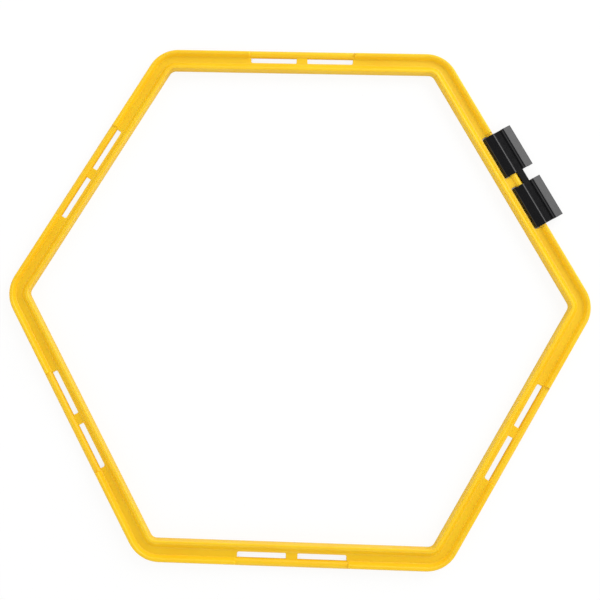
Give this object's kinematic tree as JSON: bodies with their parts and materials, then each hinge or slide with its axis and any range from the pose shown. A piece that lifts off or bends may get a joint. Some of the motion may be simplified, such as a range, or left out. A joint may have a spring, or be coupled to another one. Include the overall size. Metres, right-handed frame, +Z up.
{
  "type": "hexagonal agility hurdle ring with connector clip",
  "caption": "Flat hexagonal moulded ring with slotted clip seats on its sides and a sprung double-jaw clip that swivels on one of them.",
  "frame": {"origin": "on the ground, midway between the farthest points of the ring and clip in X and Y; the hexagon's centre is at X -8 mm", "axes": "+Z up from the ground; +X towards the side that carries the clip; +Y along that side"},
  "size_m": [0.452, 0.4942, 0.011],
  "materials": {
    "yellow_plastic": "injection-moulded polypropylene, warm yellow, satin gloss",
    "black_plastic": "injection-moulded nylon, black, smooth gloss"
  },
  "bodies": {
    "ring": {"hex_ring": "yellow_plastic"},
    "clip": {"connector_clip": "black_plastic"}
  },
  "joints": [
    {"name": "clip_swivel", "type": "hinge", "parent": "ring", "child": "clip", "pos_m": [0.2067, 0, 0.0055], "axis": [0, -1, 0], "range_deg": [-115, 115]}
  ]
}
